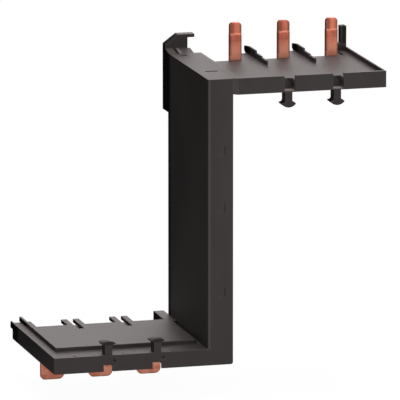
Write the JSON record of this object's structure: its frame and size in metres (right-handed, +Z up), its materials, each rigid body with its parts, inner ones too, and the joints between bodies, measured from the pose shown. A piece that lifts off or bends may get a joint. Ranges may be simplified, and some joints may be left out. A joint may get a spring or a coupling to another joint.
{
  "type": "comb busbar",
  "caption": "Offset comb busbar in a black stepped housing: copper prongs on the upper arm link to copper blades under the lower arm.",
  "frame": {"origin": "centre of the overall box", "axes": "+Z up along the limb, +X towards the upper arm's free end, +Y back towards the terminals"},
  "size_m": [0.119, 0.0624, 0.1238],
  "materials": {
    "black_plastic": "fine satin moulded",
    "copper": "bare rolled copper, satin",
    "insulating_sheet": "plain pressed board"
  },
  "bodies": {
    "root": {"main_housing": "black_plastic", "limb_cover": "black_plastic", "upper_arm_tray": "black_plastic", "upper_arm_lid": "black_plastic", "lower_arm_lid": "black_plastic", "left_phase_busbar": "copper", "middle_phase_busbar": "copper", "right_phase_busbar": "copper", "left_separator_sheet": "insulating_sheet", "right_separator_sheet": "insulating_sheet"}
  },
  "joints": []
}
